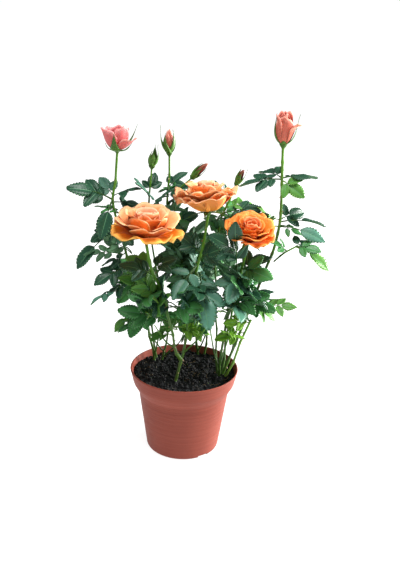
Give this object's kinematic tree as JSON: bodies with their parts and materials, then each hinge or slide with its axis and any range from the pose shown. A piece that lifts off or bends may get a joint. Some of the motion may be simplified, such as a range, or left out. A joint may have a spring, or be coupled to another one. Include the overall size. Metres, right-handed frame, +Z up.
{
  "type": "potted rose bush",
  "caption": "Patio rose bush with leaning canes, dark compound leaves, apricot blooms and pink buds, growing in a tapered plastic grower's pot that stands on its flat base.",
  "frame": {"origin": "middle of the pot's flat underside", "axes": "+Z up, -Y to the front, from which the blooms are seen, and +X to the right as seen from the front"},
  "size_m": [0.2733, 0.1797, 0.3826],
  "materials": {
    "pot": "satin",
    "soil": "matte",
    "cane": "satin",
    "leaf": "satin",
    "leaf_young": "satin",
    "petal_apricot": "matte",
    "petal_orange": "matte",
    "petal_pink": "matte",
    "sepal": "satin"
  },
  "bodies": {
    "root": {"pot": "pot", "soil": "soil", "cane_right_tall": "cane", "cane_right_pale": "cane", "cane_right_bloom": "cane", "cane_right_inner": "cane", "cane_right_back": "cane", "cane_front_left": "cane", "cane_front_centre": "cane", "cane_left_tall": "cane", "cane_left_inner": "cane", "cane_left_back": "cane", "cane_back_left": "cane", "cane_back_right": "cane", "shoot_middle": "cane", "branch_right": "cane", "bloom_left": "petal_apricot", "bloom_centre": "petal_apricot", "bloom_right": "petal_orange", "bloom_opening": "petal_pink", "bud_tall": "petal_pink", "bud_pink": "petal_pink", "bud_green": "sepal", "bud_red": "petal_pink", "bud_hidden": "sepal", "leaves_top_left": "leaf", "leaves_left": "leaf", "leaves_left_low": "leaf", "leaves_low_left": "leaf", "leaves_front_left": "leaf", "leaves_front": "leaf", "leaves_front_right": "leaf", "leaves_core": "leaf", "leaves_right_low": "leaf_young", "leaves_right_branch": "leaf_young", "leaves_right": "leaf", "leaves_right_top": "leaf", "leaves_top_middle": "leaf", "leaves_top_centre": "leaf", "leaves_top_right": "leaf", "leaves_low_inner": "leaf_young", "leaves_low_middle": "leaf_young", "leaves_back_left": "leaf", "leaves_back": "leaf", "leaves_back_right": "leaf", "leaves_back_low": "leaf"}
  },
  "joints": []
}
